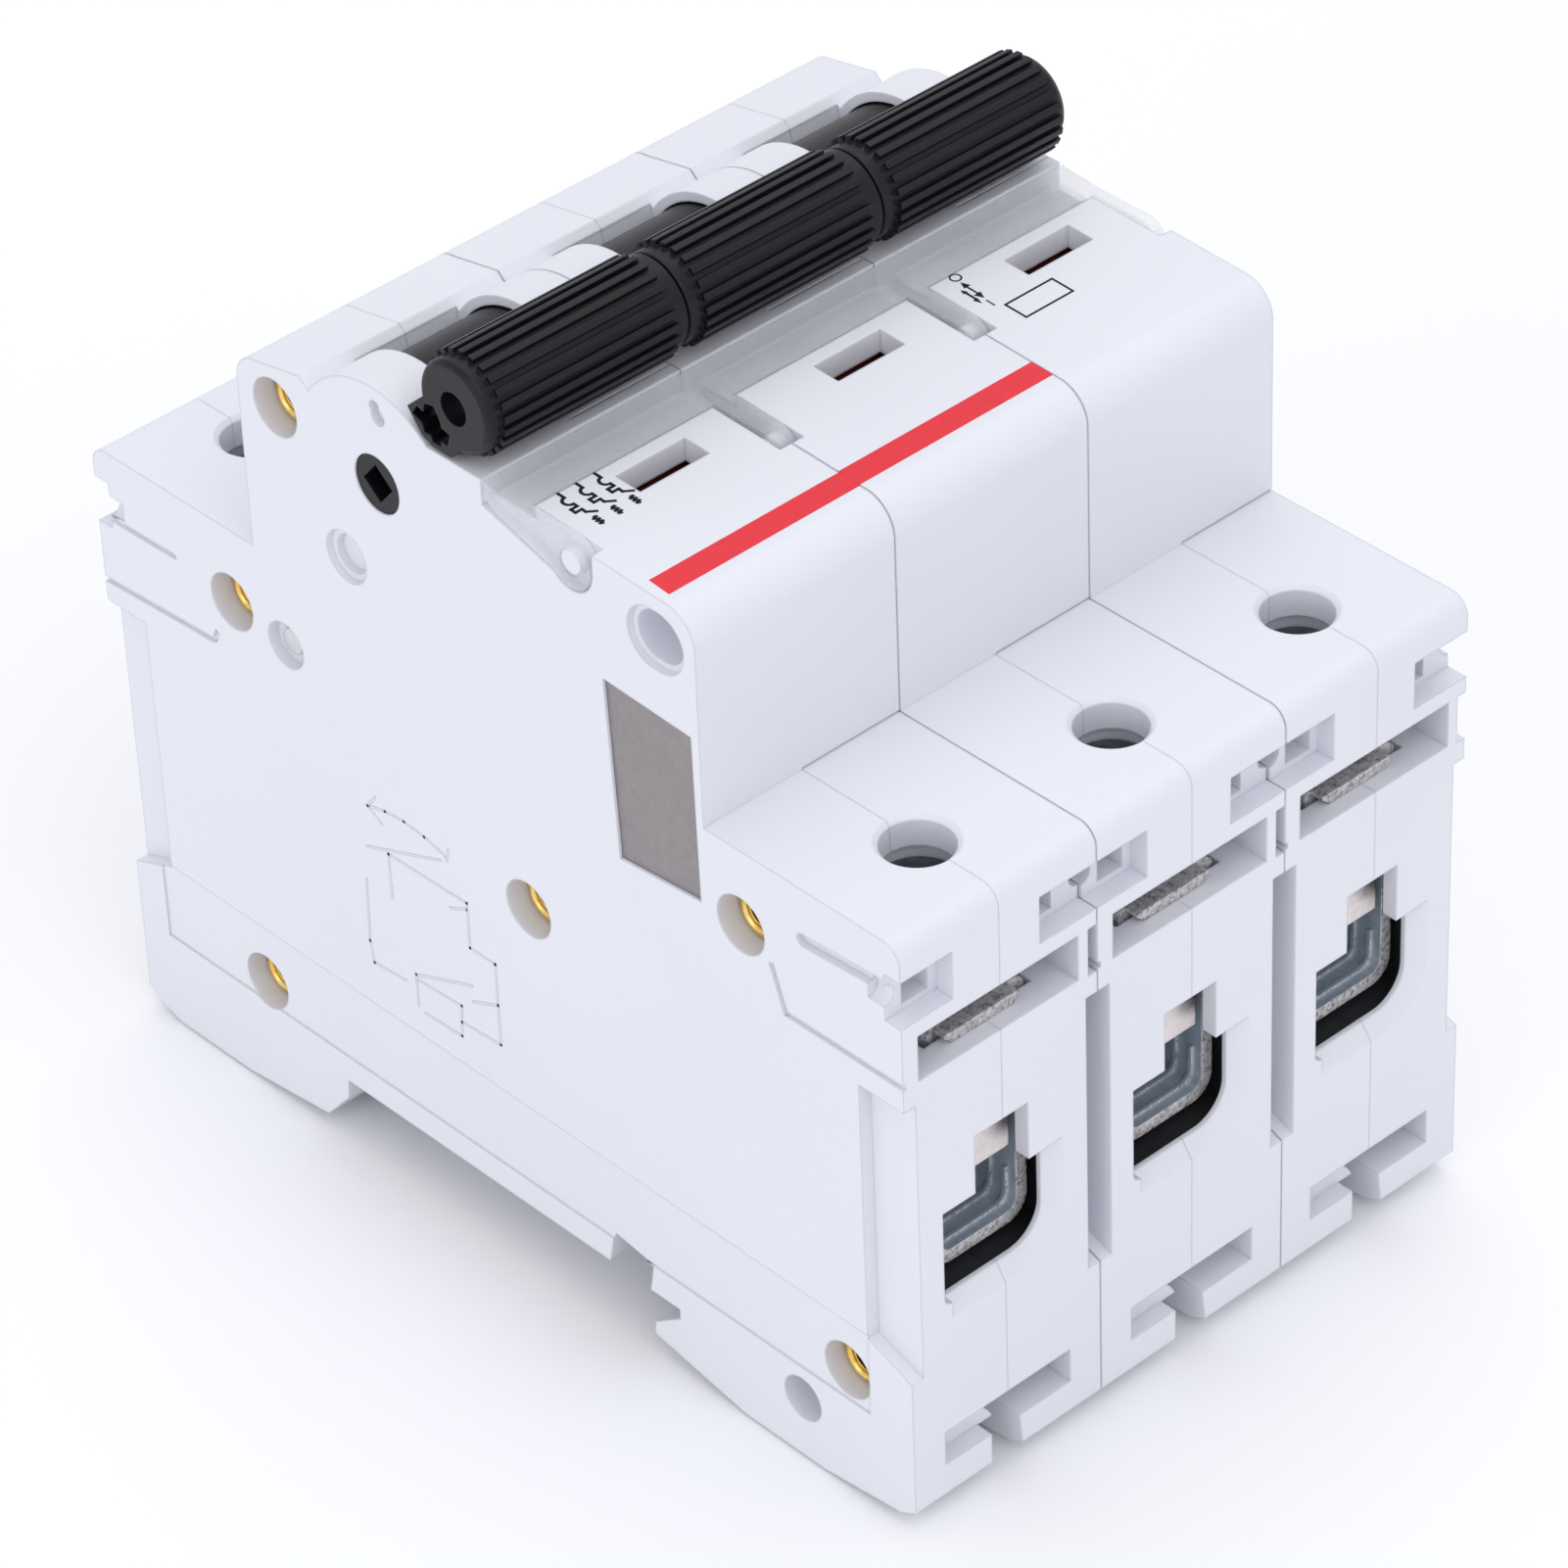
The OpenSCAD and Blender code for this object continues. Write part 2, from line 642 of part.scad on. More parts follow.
// Cage at the front end; the back end uses its mirror image
module cage_solid() {
    half = cage_w / 2;
    inner = half - cage_t;
    floor_z = cage_z + cage_t;
    difference() {
        wall_cut(-cage_y1, -cage_y0) {
            cup_outline(half, cage_z, cage_top - 1, 1.9);
            rect([-half + 1, cage_top - 2], [half - 1, cage_top]);
            for (s = [-1, 1]) disc([s * (half - 1), cage_top - 1], 1);
        }
        wall_cut(-cage_y1 - 1, -cage_y0 + 1) cup_outline(inner, floor_z, cage_top - cage_plate_t, 0.9);
        translate([0, -screw_y, cage_top - 3]) cylinder(r = screw_r + 0.05, h = 5);
    }
    wall_cut(-39.3, -cage_y1 + 1) polygon([[-3.8, cage_top], [-3.8, cage_top - 0.3], [-3.1, cage_top - 0.85],
        [2.4, cage_top - 0.85], [2.9, cage_top - 0.3], [2.9, cage_top]]);
    for (i = [0 : 5]) wall_cut(-cage_y1 + 0.8 + i * 1.5, -cage_y1 + 1.15 + i * 1.5) difference() {
        cup_outline(inner + eps, floor_z - eps, floor_z + 3, 0.9);
        cup_outline(inner - 0.2, floor_z + 0.2, floor_z + 4, 0.9);
    }
}

module front_cage(k) {
    color([0.55, 0.6, 0.66]) translate([pole_x(k), 0, 0]) cage_solid();
}

module back_cage(k) {
    color([0.55, 0.6, 0.66]) translate([pole_x(k), 0, 0]) scale([1, -1, 1]) cage_solid();
}

module screw_solid() {
    difference() {
        union() {
            translate([0, 0, screw_tip_z]) cylinder(r = screw_r, h = screw_head_z - screw_tip_z + 0.1);
            translate([0, 0, screw_head_z]) cylinder(r = screw_head_r, h = screw_head_h);
        }
        translate([0, 0, screw_head_z + screw_head_h]) {
            cube([7, 0.9, 1.6], center = true);
            cube([1, 3.6, 2.6], center = true);
            cube([3.6, 1, 2.6], center = true);
        }
    }
}

module front_screw(k) {
    color([0.66, 0.68, 0.7]) translate([pole_x(k), -screw_y, 0]) screw_solid();
}

module back_screw(k) {
    color([0.66, 0.68, 0.7]) translate([pole_x(k), screw_y, 0]) screw_solid();
}

// ---------- rail clip ----------

module din_clip(k) {
    color([0.86, 0.87, 0.9]) translate([pole_x(k), 0, 0]) difference() {
        union() {
            box([-5.7, 20.2, clip_z0], [5.7, half_len - 0.15, clip_z1]);
            slab(-4.9, 4.9) polygon([[16.2, 4.5], [16.2, 3.9], [17.4, 2.7], [22.6, 2.7], [22.6, clip_z0 + 0.1],
                [20.2, clip_z0 + 0.1], [20.2, 4.5]]);
        }
        box([-1.8, 37.2, 3], [1.8, 39.2, 8]);
        box([-3.6, 25, 3], [3.6, 34.5, 8]);
    }
}

left_shell(1);  // left_shell_1
left_shell(2);  // left_shell_2
left_shell(3);  // left_shell_3
right_shell(1);  // right_shell_1
right_shell(2);  // right_shell_2
right_shell(3);  // right_shell_3
assembly_rivets();
side_plate();
label_strips();
label_cover();
toggle(1);  // toggle_1
toggle(2);  // toggle_2
toggle(3);  // toggle_3
handle_tie_pin();
contact_carrier(1);  // contact_carrier_1
contact_carrier(2);  // contact_carrier_2
contact_carrier(3);  // contact_carrier_3
moving_contact(1);  // moving_contact_1
moving_contact(2);  // moving_contact_2
moving_contact(3);  // moving_contact_3
handle_links();
line_terminal(1);  // line_terminal_1
line_terminal(2);  // line_terminal_2
line_terminal(3);  // line_terminal_3
load_terminal(1);  // load_terminal_1
load_terminal(2);  // load_terminal_2
load_terminal(3);  // load_terminal_3
front_cage(1);  // front_cage_1
front_cage(2);  // front_cage_2
front_cage(3);  // front_cage_3
back_cage(1);  // back_cage_1
back_cage(2);  // back_cage_2
back_cage(3);  // back_cage_3
front_screw(1);  // front_screw_1
front_screw(2);  // front_screw_2
front_screw(3);  // front_screw_3
back_screw(1);  // back_screw_1
back_screw(2);  // back_screw_2
back_screw(3);  // back_screw_3
arc_chute(1);  // arc_chute_1
arc_chute(2);  // arc_chute_2
arc_chute(3);  // arc_chute_3
trip_coil(1);  // trip_coil_1
trip_coil(2);  // trip_coil_2
trip_coil(3);  // trip_coil_3
coil_yokes();
plunger(1);  // plunger_1
plunger(2);  // plunger_2
plunger(3);  // plunger_3
bimetals();
trip_lever(1);  // trip_lever_1
trip_lever(2);  // trip_lever_2
trip_lever(3);  // trip_lever_3
trip_bar();
flag(1);  // flag_1
flag(2);  // flag_2
flag(3);  // flag_3
din_clip(1);  // din_clip_1
din_clip(2);  // din_clip_2
din_clip(3);  // din_clip_3
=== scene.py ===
import math
import bpy
from mathutils import Matrix, Vector


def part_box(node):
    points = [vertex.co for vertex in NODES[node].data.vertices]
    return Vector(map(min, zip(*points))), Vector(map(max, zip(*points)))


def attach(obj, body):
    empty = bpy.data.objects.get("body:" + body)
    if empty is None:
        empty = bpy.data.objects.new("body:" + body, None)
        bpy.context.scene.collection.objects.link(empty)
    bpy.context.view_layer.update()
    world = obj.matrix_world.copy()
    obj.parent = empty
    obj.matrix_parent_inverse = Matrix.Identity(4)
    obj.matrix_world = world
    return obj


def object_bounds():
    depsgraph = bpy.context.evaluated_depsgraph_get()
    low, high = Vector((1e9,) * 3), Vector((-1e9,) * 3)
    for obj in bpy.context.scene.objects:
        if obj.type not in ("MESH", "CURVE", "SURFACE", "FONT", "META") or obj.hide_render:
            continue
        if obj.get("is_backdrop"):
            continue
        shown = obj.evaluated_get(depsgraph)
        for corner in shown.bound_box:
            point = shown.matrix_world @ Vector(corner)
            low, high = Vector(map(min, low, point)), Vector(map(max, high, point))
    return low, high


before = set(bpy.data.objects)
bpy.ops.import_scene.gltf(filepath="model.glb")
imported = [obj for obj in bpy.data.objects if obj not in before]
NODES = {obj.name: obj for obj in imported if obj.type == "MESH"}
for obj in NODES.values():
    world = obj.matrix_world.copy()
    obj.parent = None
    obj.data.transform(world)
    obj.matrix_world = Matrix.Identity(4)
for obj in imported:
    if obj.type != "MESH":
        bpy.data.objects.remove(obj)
CAD_BOUNDS = [v.copy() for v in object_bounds()]
MM = 0.001
HALF_PITCH = (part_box("left_shell_2")[0].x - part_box("left_shell_1")[0].x) / 2
POLES = (1, 2, 3)


def collection_add(obj):
    bpy.context.scene.collection.objects.link(obj)
    return obj


# ---------- materials ----------

def new_material(name):
    m = bpy.data.materials.new(name)
    m.use_nodes = True
    t = m.node_tree
    t.nodes.clear()
    out = t.nodes.new("ShaderNodeOutputMaterial")
    p = t.nodes.new("ShaderNodeBsdfPrincipled")
    t.links.new(p.outputs["BSDF"], out.inputs["Surface"])
    return m, t, p


def noise(t, scale, detail=3.0, rough=0.5, vector=None):
    n = t.nodes.new("ShaderNodeTexNoise")
    n.inputs["Scale"].default_value = scale
    n.inputs["Detail"].default_value = detail
    n.inputs["Roughness"].default_value = rough
    if vector is not None:
        t.links.new(vector, n.inputs["Vector"])
    return n.outputs["Fac"]


def object_coords(t, stretch=(1, 1, 1)):
    c = t.nodes.new("ShaderNodeTexCoord")
    mp = t.nodes.new("ShaderNodeMapping")
    mp.inputs["Scale"].default_value = stretch
    t.links.new(c.outputs["Object"], mp.inputs["Vector"])
    return mp.outputs["Vector"]


def ramp(t, fac, stops):
    r = t.nodes.new("ShaderNodeValToRGB")
    e = r.color_ramp.elements
    while len(e) < len(stops):
        e.new(0.5)
    for el, (pos, col) in zip(e, stops):
        el.position = pos
        el.color = (*col, 1) if len(col) == 3 else col
    t.links.new(fac, r.inputs["Fac"])
    return r.outputs["Color"]


def scalar(t, fac, lo, hi):
    r = t.nodes.new("ShaderNodeMapRange")
    r.inputs["To Min"].default_value = lo
    r.inputs["To Max"].default_value = hi
    t.links.new(fac, r.inputs["Value"])
    return r.outputs["Result"]


def maths(t, operation, a, b=None):
    """A maths node on a socket and a number or a second socket."""
    n = t.nodes.new("ShaderNodeMath")
    n.operation = operation
    t.links.new(a, n.inputs[0])
    if isinstance(b, (int, float)):
        n.inputs[1].default_value = b
    elif b is not None:
        t.links.new(b, n.inputs[1])
    return n.outputs["Value"]


def blend_colours(t, fac, a, b):
    n = t.nodes.new("ShaderNodeMix")
    n.data_type = "RGBA"
    t.links.new(fac, n.inputs["Factor"])
    t.links.new(a, n.inputs[6])
    t.links.new(b, n.inputs[7])
    return n.outputs[2]


def surface_relief(t, p, height, strength, distance, edge=0.0):
    b = t.nodes.new("ShaderNodeBump")
    b.inputs["Strength"].default_value = strength
    b.inputs["Distance"].default_value = distance
    t.links.new(height, b.inputs["Height"])
    if edge > 0:
        round_edge = t.nodes.new("ShaderNodeBevel")
        round_edge.samples = 6
        round_edge.inputs["Radius"].default_value = edge
        t.links.new(round_edge.outputs["Normal"], b.inputs["Normal"])
    t.links.new(b.outputs["Normal"], p.inputs["Normal"])


def chamber_walls(t):
    """1 on the walls of the terminal chambers, by the place on the piece, and 0 everywhere else: the mask of
    the painted shade inside the chambers.
    """
    cage_lo, cage_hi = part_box("front_cage_2")
    place = t.nodes.new("ShaderNodeSeparateXYZ")
    t.links.new(object_coords(t), place.inputs["Vector"])
    pole = t.nodes.new("ShaderNodeMath")
    pole.operation = "WRAP"
    t.links.new(place.outputs["X"], pole.inputs[0])
    pole.inputs[1].default_value = HALF_PITCH
    pole.inputs[2].default_value = -HALF_PITCH
    across = maths(t, "ABSOLUTE", pole.outputs["Value"])
    along = maths(t, "ABSOLUTE", place.outputs["Y"])
    inside = maths(t, "LESS_THAN", across, cage_hi.x + 1.5 * MM)
    limits = (
        ("LESS_THAN", along, -cage_lo.y + 0.05 * MM),
        ("GREATER_THAN", along, -cage_hi.y - MM),
        ("GREATER_THAN", place.outputs["Z"], cage_lo.z - 1.6 * MM),
        ("LESS_THAN", place.outputs["Z"], cage_hi.z - 6 * MM),
    )
    for operation, value, limit in limits:
        inside = maths(t, "MULTIPLY", inside, maths(t, operation, value, limit))
    return inside


def moulded_plastic(name, colour, tint, rough, edge, grain=2600, relief=0.12, specular=0.5, dim=False):
    """Moulded plastic; with dim, the walls inside the terminal chambers get a near-black painted shade in
    place of the shade in those recesses.
    """
    m, t, p = new_material(name)
    v = object_coords(t)
    wide = noise(t, 38, 2, 0.5, v)
    plain = ramp(t, wide, [(0.3, colour), (0.7, tint)])
    if dim:
        # painted shade: near-black colour on the chamber walls, standing in for the shade inside the
        # terminal chambers
        chamber_shade = ramp(t, wide, [(0.3, (0.02, 0.021, 0.024)), (0.7, (0.045, 0.047, 0.052))])
        plain = blend_colours(t, chamber_walls(t), plain, chamber_shade)
    t.links.new(plain, p.inputs["Base Color"])
    fine = noise(t, grain, 2, 0.6, v)
    t.links.new(scalar(t, fine, rough - 0.05, rough + 0.05), p.inputs["Roughness"])
    p.inputs["Specular IOR Level"].default_value = specular
    surface_relief(t, p, fine, relief, 0.00006, edge)
    return m


def metal(name, colour, tint, rough, stretch=(1, 1, 1), scale=900, edge=0.00012, relief=0.25):
    m, t, p = new_material(name)
    v = object_coords(t, stretch)
    streak = noise(t, scale, 4, 0.6, v)
    t.links.new(ramp(t, streak, [(0.32, colour), (0.68, tint)]), p.inputs["Base Color"])
    t.links.new(scalar(t, streak, rough - 0.08, rough + 0.1), p.inputs["Roughness"])
    p.inputs["Metallic"].default_value = 1.0
    surface_relief(t, p, streak, relief, 0.00003, edge)
    return m


def plated_sheet(name, colour, tint, cut, top_z):
    """Plated steel sheet whose sawn ends and everything above top_z are bright and rough: partly bare cut
    steel, partly a painted highlight for the light falling on those faces.
    """
    m, t, p = new_material(name)
    v = object_coords(t, (4, 1, 1))
    streak = noise(t, 700, 4, 0.6, v)
    grit = noise(t, 2600, 5, 0.75, object_coords(t))
    coords = t.nodes.new("ShaderNodeTexCoord")
    facing = t.nodes.new("ShaderNodeSeparateXYZ")
    t.links.new(coords.outputs["Normal"], facing.inputs["Vector"])
    place = t.nodes.new("ShaderNodeSeparateXYZ")
    t.links.new(coords.outputs["Object"], place.inputs["Vector"])
    size = maths(t, "ABSOLUTE", facing.outputs["Y"])
    end_face = maths(t, "GREATER_THAN", size, 0.9)
    upper = maths(t, "GREATER_THAN", place.outputs["Z"], top_z)
    # mask of the faces pointing along Y and of everything above top_z, where the painted highlight goes
    bare_and_lit_mask = maths(t, "MAXIMUM", end_face, upper)
    plain = ramp(t, streak, [(0.32, colour), (0.68, tint)])
    dark_cut = tuple(0.3 * c for c in cut)
    # painted highlight: bright grey on those faces, partly the real bare cut steel and partly light painted
    # on where it falls on them
    bare_and_lit_colour = ramp(t, grit, [(0.36, dark_cut), (0.5, cut), (0.75, (0.93, 0.92, 0.92))])
    t.links.new(blend_colours(t, bare_and_lit_mask, plain, bare_and_lit_colour), p.inputs["Base Color"])
    t.links.new(scalar(t, streak, 0.3, 0.46), p.inputs["Roughness"])
    p.inputs["Metallic"].default_value = 0.45
    height = t.nodes.new("ShaderNodeMix")
    t.links.new(bare_and_lit_mask, height.inputs["Factor"])
    t.links.new(streak, height.inputs[2])
    t.links.new(grit, height.inputs[3])
    surface_relief(t, p, height.outputs[0], 0.5, 0.00006, 0.00012)
    return m


# dim=True paints shade on the terminal chamber walls of the housing
HOUSING = moulded_plastic("housing", (0.735, 0.745, 0.805), (0.755, 0.765, 0.825), 0.42, 0.00025, dim=True)
BLACK = moulded_plastic("handle", (0.004, 0.004, 0.0065), (0.007, 0.007, 0.01), 0.4, 0.00014, 3200, 0.2, 0.3)
CREAM = moulded_plastic("cream", (0.7, 0.66, 0.55), (0.75, 0.7, 0.6), 0.5, 0.0001)
# label strips: grey, partly their own tone and partly painted shade under the clear cover
LABEL_GREY_AND_SHADE = moulded_plastic("paper", (0.5, 0.51, 0.56), (0.56, 0.57, 0.62), 0.6, 0.00005, 3000, 0.1, 0.3)
PLATE = metal("plate", (0.3, 0.28, 0.285), (0.35, 0.33, 0.335), 0.5, (1, 1, 1), 1500)
BRASS = metal("brass", (0.85, 0.55, 0.12), (0.95, 0.7, 0.25), 0.25)
STEEL = metal("steel", (0.6, 0.61, 0.64), (0.72, 0.73, 0.75), 0.3, (1, 8, 1))
SCREW = metal("screw", (0.16, 0.165, 0.18), (0.26, 0.265, 0.28), 0.35)
CAGE_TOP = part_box("front_cage_1")[1].z - MM
ZINC = plated_sheet("zinc_steel", (0.4, 0.48, 0.56), (0.52, 0.6, 0.68), (0.62, 0.6, 0.6), CAGE_TOP)
YOKE = metal("yoke_zinc", (0.4, 0.46, 0.53), (0.66, 0.7, 0.75), 0.28, (8, 1, 1), 500)
NICKEL = metal("nickel", (0.72, 0.66, 0.65), (0.84, 0.78, 0.77), 0.45, (1, 1, 1), 1800)
COPPER = metal("copper", (0.72, 0.33, 0.16), (0.85, 0.45, 0.26), 0.3)
BIMETAL = metal("bimetal", (0.55, 0.52, 0.42), (0.66, 0.63, 0.52), 0.35)


def clear_plastic():
    """Thin clear moulding with a faint milky haze."""
    m, t, p = new_material("clear")
    v = object_coords(t)
    n = noise(t, 220, 2, 0.5, v)
    t.links.new(ramp(t, n, [(0.3, (0.8, 0.82, 0.86)), (0.7, (0.9, 0.91, 0.94))]), p.inputs["Base Color"])
    t.links.new(scalar(t, n, 0.05, 0.14), p.inputs["Roughness"])
    p.inputs["Alpha"].default_value = 0.3
    p.inputs["IOR"].default_value = 1.49
    surface_relief(t, p, n, 0.08, 0.0001, 0.0001)
    return m


def flag_material():
    """Indicator plastic: green on the front half and dark red on the back half."""
    m, t, p = new_material("flag")
    c = t.nodes.new("ShaderNodeTexCoord")
    sep = t.nodes.new("ShaderNodeSeparateXYZ")
    t.links.new(c.outputs["Object"], sep.inputs["Vector"])
    lo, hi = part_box("flag_1")
    step = t.nodes.new("ShaderNodeMath")
    step.operation = "GREATER_THAN"
    step.inputs[1].default_value = (lo.y + hi.y) / 2
    t.links.new(sep.outputs["Y"], step.inputs[0])
    green_then_red = [(0.4, (0.02, 0.28, 0.07)), (0.6, (0.13, 0.016, 0.015))]
    t.links.new(ramp(t, step.outputs["Value"], green_then_red), p.inputs["Base Color"])
    fine = noise(t, 2500, 2, 0.5, object_coords(t))
    t.links.new(scalar(t, fine, 0.38, 0.5), p.inputs["Roughness"])
    return m


CLEAR = clear_plastic()
FLAG = flag_material()
FINISH = {
    "left_shell": HOUSING,
    "right_shell": HOUSING,
    "din_clip": HOUSING,
    "assembly_rivets": BRASS,
    "side_plate": PLATE,
    "label_strips": LABEL_GREY_AND_SHADE,
    "label_cover": CLEAR,
    "toggle": BLACK,
    "handle_tie_pin": STEEL,
    "contact_carrier": CREAM,
    "moving_contact": COPPER,
    "handle_links": STEEL,
    "line_terminal": NICKEL,
    "load_terminal": NICKEL,
    "front_cage": ZINC,
    "back_cage": ZINC,
    "front_screw": SCREW,
    "back_screw": SCREW,
    "arc_chute": STEEL,
    "trip_coil": COPPER,
    "coil_yokes": YOKE,
    "plunger": STEEL,
    "bimetals": BIMETAL,
    "trip_lever": CREAM,
    "trip_bar": STEEL,
    "flag": FLAG,
}


def finish_of(node):
    for prefix, mat in FINISH.items():
        if node.startswith(prefix):
            return mat
    raise KeyError(node)


def smooth_by_angle(obj, degrees=32):
    me = obj.data
    me.polygons.foreach_set("use_smooth", [True] * len(me.polygons))
    me.set_sharp_from_angle(angle=math.radians(degrees))


for name, obj in NODES.items():
    obj.data.materials.clear()
    obj.data.materials.append(finish_of(name))

# ---------- printed marks and small visual parts ----------

def solid_from_outline(name, outline, place, low, high, material, body="case"):
    """Closed flat piece: place(a, b, h) turns an outline point and a height into a point in metres."""
    n = len(outline)
    verts = [place(a, b, h) for h in (low, high) for a, b in outline]
    faces = [tuple(range(n))[::-1], tuple(range(n, 2 * n))]
    faces += [(k, (k + 1) % n, n + (k + 1) % n, n + k) for k in range(n)]
    me = bpy.data.meshes.new(name)
    me.from_pydata(verts, [], faces)
    me.validate()
    me.materials.append(material)
    obj = collection_add(bpy.data.objects.new(name, me))
    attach(obj, body)
    return obj


def nose_top(a, b, h):
    """A point on the sloping top of the nose, a along X and b along Y in mm, h mm above it."""
    top_z, top_y, slope = 67.1, -6.3, 0.5 / 13.5
    return (a * MM, b * MM, (top_z + (b - top_y) * slope + h) * MM)


def stroke(points, width):
    """Outline of an open line of that width."""
    left, right = [], []
    for k, p in enumerate(points):
        before = Vector(points[max(k - 1, 0)])
        after = Vector(points[min(k + 1, len(points) - 1)])
        t = (after - before).normalized()
        n = Vector((-t.y, t.x)) * width / 2
        left.append(tuple(Vector(p) + n))
        right.append(tuple(Vector(p) - n))
    return left + right[::-1]


def arc(cx, cy, r, a0, a1, steps=16):
    return [(cx + r * math.cos(math.radians(a0 + (a1 - a0) * k / steps)),
             cy + r * math.sin(math.radians(a0 + (a1 - a0) * k / steps))) for k in range(steps + 1)]


def ink(name, colour, rough):
    m, t, p = new_material(name)
    n = noise(t, 900, 3, 0.6, object_coords(t))
    dark = tuple(c * 0.93 for c in colour)
    t.links.new(ramp(t, n, [(0.3, colour), (0.7, dark)]), p.inputs["Base Color"])
    t.links.new(scalar(t, n, rough - 0.06, rough + 0.06), p.inputs["Roughness"])
    p.inputs["Specular IOR Level"].default_value = 0.25
    return m


RED_INK = ink("red_ink", (0.78, 0.035, 0.05), 0.45)
BLACK_INK = ink("black_ink", (0.012, 0.012, 0.014), 0.5)
LINE_LOW, LINE_HIGH = -0.02, 0.012


def mark(name, outline, material=BLACK_INK):
    return solid_from_outline(name, outline, nose_top, LINE_LOW, LINE_HIGH, material)


def red_stripe():
    """Stripe over the first two poles, a little out of line where they meet."""
    stretches = ((-25.6, -8.87, -17.28, -19.28), (-8.83, 8.83, -17.18, -19.2))
    for k, (x0, x1, y0, y1) in enumerate(stretches):
        mark(f"stripe_{k + 1}", [(x0, y0), (x0 - 0.08, y1), (x1, y1), (x1, y0)], RED_INK)


def drawn_line(name, points, width, draw=mark):
    """Straight strokes from point to point, each run on by half its width so that the corners close."""
    for j in range(len(points) - 1):
        start, end = Vector(points[j]), Vector(points[j + 1])
        run_on = (end - start).normalized() * width / 2
        draw(f"{name}_{j + 1}", stroke([tuple(start - run_on), tuple(end + run_on)], width))


def trip_symbol(k, x):
    """Switch contact with its cross, the magnetic trip's square bump and the thermal trip's round one."""
    w = 0.25
    bump = 0.55
    drawn_line(f"symbol_{k}_lead", [(x, -10.75), (x, -9.85)], 0.8 * w)
    for j in range(3):
        c = -10.6 + 0.32 * j
        mark(f"symbol_{k}_bar_{j + 1}", stroke([(x - 0.26, c - 0.1), (x + 0.26, c + 0.1)], w))
    drawn_line(f"symbol_{k}_blade", [(x, -9.1), (x + bump, -9.5)], w)
    square = [(x, -9.1), (x, -8.7), (x - bump, -8.7), (x - bump, -8.25), (x, -8.25), (x, -7.9)]
    drawn_line(f"symbol_{k}_square", square, w)
    mark(f"symbol_{k}_round", stroke(arc(x, -7.45, 0.45, -90, -270), w))
    drawn_line(f"symbol_{k}_end", [(x, -7.0), (x, -6.4)], w)


def position_arrow():
    """Ring, double arrow and bar beside the cover, with a thinner double arrow next to them."""
    x, w = 11.8, 0.13
    mark("off_ring", stroke(arc(x + 0.2, -6.73, 0.4, 0, 359.9, 40), w))
    mark("arrow_back", [(x + 0.05, -7.35), (x - 0.28, -8.05), (x + 0.34, -8.05)])
    mark("arrow_front", [(x - 0.05, -9.77), (x + 0.28, -9.05), (x - 0.36, -9.05)])
    drawn_line("arrow_shaft", [(x, -7.9), (x, -9.2)], 0.16)
    mark("small_arrow_back", [(x - 0.58, -8.0), (x - 0.78, -8.5), (x - 0.35, -8.5)])
    mark("small_arrow_front", [(x - 0.6, -10.1), (x - 0.4, -9.45), (x - 0.85, -9.45)])
    drawn_line("small_arrow_shaft", [(x - 0.55, -8.4), (x - 0.55, -9.5)], 0.2)
    drawn_line("on_bar", [(x - 0.15, -10.1), (x - 0.15, -10.8)], w)


def rating_frame():
    x0, x1, y0, y1 = 12.2, 16.6, -13.3, -11.3
    drawn_line("frame", [(x0, y0), (x1, y0), (x1, y1), (x0, y1), (x0, y0)], 0.18)


red_stripe()
for index in POLES:
    trip_symbol(index, -20.4 - 1.6 * (index - 1))
position_arrow()
rating_frame()


def ring(name, centre, axis_x, profile, material, body, steps=48):
    """Turned ring about an X axis line: profile is [(radius, x)] in mm, closed."""
    cy, cz = centre
    verts, faces = [], []
    n = len(profile)
    for k in range(steps):
        a = 2 * math.pi * k / steps
        for r, x in profile:
            verts.append(((axis_x + x) * MM, (cy + r * math.cos(a)) * MM, (cz + r * math.sin(a)) * MM))
    for k in range(steps):
        for j in range(n):
            q = (k + 1) % steps
            faces.append((k * n + j, k * n + (j + 1) % n, q * n + (j + 1) % n, q * n + j))
    me = bpy.data.meshes.new(name)
    me.from_pydata(verts, [], faces)
    me.materials.append(material)
    obj = collection_add(bpy.data.objects.new(name, me))
    smooth_by_angle(obj, 50)
    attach(obj, body)
    return obj


def rivet_flares():
    """Rolled rims on the hollow rivets, at both ends of the case."""
    lo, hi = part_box("assembly_rivets")
    spots = ((19.1, 63.2), (26, 43.7), (-4, 33.2), (26.3, 9.9), (-25.6, 43.8), (-34.2, 10.5))
    tube, rim, corners = 0.36, 1.5, 14
    for k, spot in enumerate(spots):
        for side, x in ((-1, lo.x / MM), (1, hi.x / MM)):
            angles = [2 * math.pi * j / corners for j in range(corners)]
            profile = [(rim + tube * math.cos(a), side * tube * 0.9 * math.sin(a)) for a in angles]
            end = "left" if side < 0 else "right"
            ring(f"rivet_rim_{k + 1}_{end}", spot, x, profile, BRASS, "case")


rivet_flares()


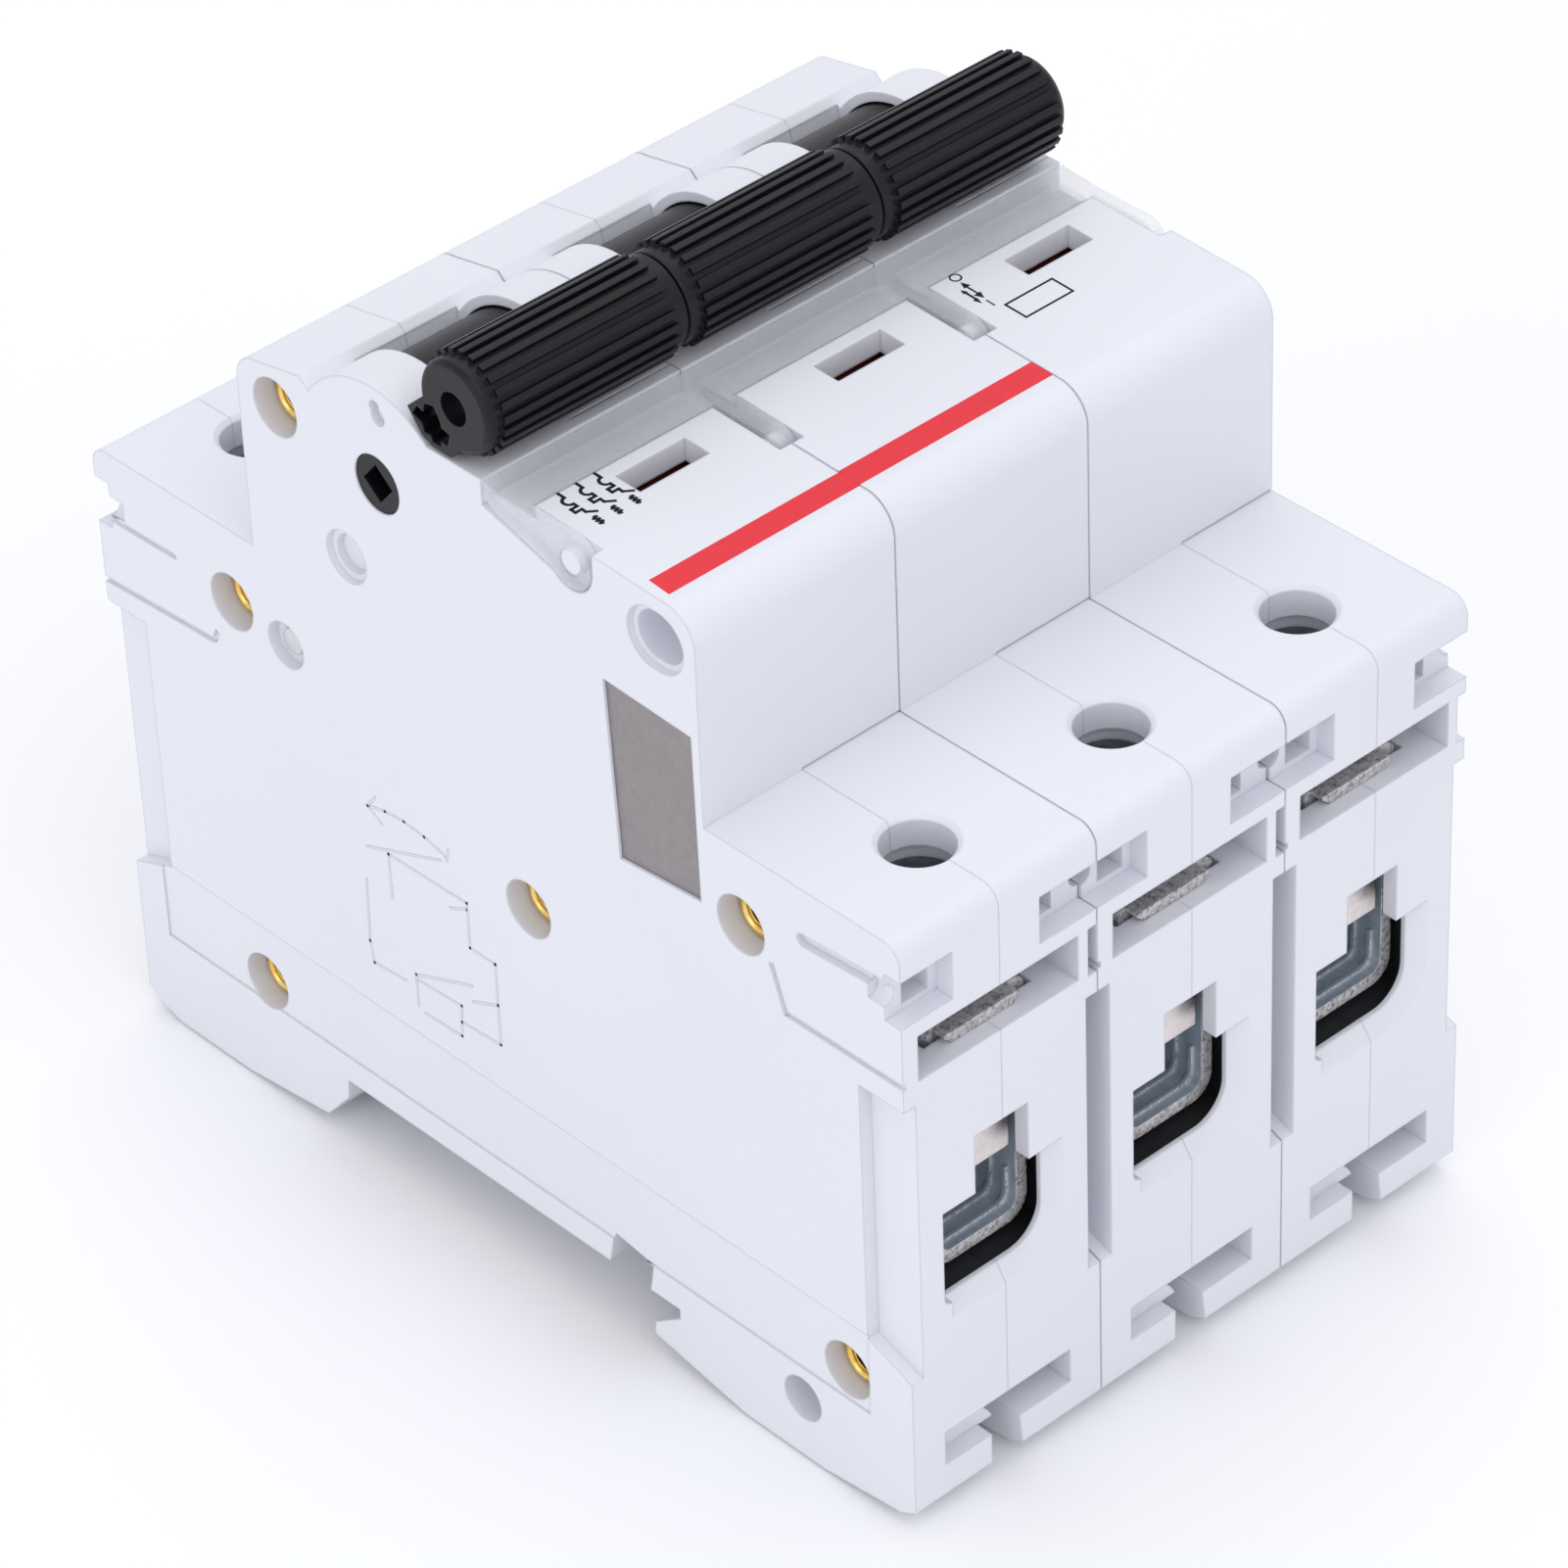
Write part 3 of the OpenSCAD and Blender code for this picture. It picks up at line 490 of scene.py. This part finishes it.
def side_emboss():
    """Faint raised outline drawing on the left side face: a breaker's side view, its lever and an arrow."""
    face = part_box("left_shell_1")[0].x / MM

    def place(a, b, h):
        return ((face - h) * MM, a * MM, b * MM)

    def raised(name, outline):
        solid_from_outline(name, outline, place, -0.05, 0.02, HOUSING)

    lines = {
        "back": [(13.5, 26.2), (13.7, 20.7), (13.4, 18.9), (10, 19.2)],
        "front": [(10.8, 26.1), (10.8, 29.9), (2.6, 30.1), (2.6, 26.2), (0, 26.2), (0, 19.1), (4.1, 18.8)],
        "lever": [(13.2, 29.3), (5.2, 32.4)],
        "swing": [(12.4, 33.2), (10.8, 33.6), (8.8, 33.8), (6.7, 33.6), (4.6, 33.1)],
        "swing_head": [(11.8, 34.3), (12.7, 33.1), (11.3, 32.3)],
        "swing_tail": [(4.2, 33.8), (4.4, 32.8)],
        "clip": [(8.8, 17.7), (8.8, 20.4), (2.7, 22.8)],
        "rail": [(8.5, 20), (4, 20.3), (4.2, 17.5), (8.1, 17.3)],
        "tab": [(2.7, 21.4), (0, 22.6)],
        "notch": [(2.7, 29.5), (4.4, 28.7)],
    }
    for name, points in lines.items():
        drawn_line(f"emboss_{name}", points, 0.24, raised)


side_emboss()

# ---------- surroundings ----------

def area_light(name, at, aim, size, power, colour=(1, 1, 1)):
    d = bpy.data.lights.new(name, "AREA")
    d.shape = "RECTANGLE"
    d.size, d.size_y = size
    d.energy = power
    d.color = colour
    o = collection_add(bpy.data.objects.new(name, d))
    o.location = at
    o.rotation_mode = "QUATERNION"
    o.rotation_quaternion = (Vector(aim) - Vector(at)).to_track_quat("-Z", "Y")
    return o


def make_world():
    w = bpy.data.worlds.new("studio")
    bpy.context.scene.world = w
    w.use_nodes = True
    bg = w.node_tree.nodes["Background"]
    bg.inputs["Color"].default_value = (0.97, 0.98, 1.02, 1)
    bg.inputs["Strength"].default_value = 0.78


def make_floor():
    s, z = 3.0, -0.0002
    me = bpy.data.meshes.new("floor")
    me.from_pydata([(-s, -s, z), (s, -s, z), (s, s, z), (-s, s, z)], [], [(0, 1, 2, 3)])
    o = collection_add(bpy.data.objects.new("floor", me))
    m, t, p = new_material("floor")
    n = noise(t, 6, 2, 0.5, object_coords(t))
    t.links.new(ramp(t, n, [(0.3, (0.93, 0.93, 0.94)), (0.7, (0.95, 0.95, 0.96))]), p.inputs["Base Color"])
    p.inputs["Roughness"].default_value = 0.9
    me.materials.append(m)
    o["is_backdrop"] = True


def make_camera():
    """The camera fitted to the photograph: its right, up and ahead directions, place and lens."""
    c = bpy.data.cameras.new("camera")
    c.sensor_width = 36
    c.lens = 167.70
    c.clip_start, c.clip_end = 0.01, 20
    o = collection_add(bpy.data.objects.new("camera", c))
    right = Vector((0.728264, -0.684484, -0.033364))
    up = Vector((0.433434, 0.422353, 0.796085))
    ahead = Vector((0.530816, 0.594222, -0.604263))
    m = Matrix((right, up, -ahead)).transposed().to_4x4()
    m.translation = Vector((-0.27195, -0.30516, 0.33724))
    o.matrix_world = m
    bpy.context.scene.camera = o


make_world()
make_floor()
make_camera()
middle = (0, 0, 0.035)
area_light("key", (-0.15, -0.55, 0.75), middle, (0.7, 0.7), 1.6)
area_light("top", (0.25, 0.2, 0.9), middle, (0.9, 0.9), 2.0)
area_light("side", (-0.8, -0.1, 0.35), middle, (0.6, 0.6), 1.2)

bpy.context.scene.view_settings.view_transform = "Standard"

{"cad": [list(v) for v in CAD_BOUNDS], "now": [list(v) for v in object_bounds()]}
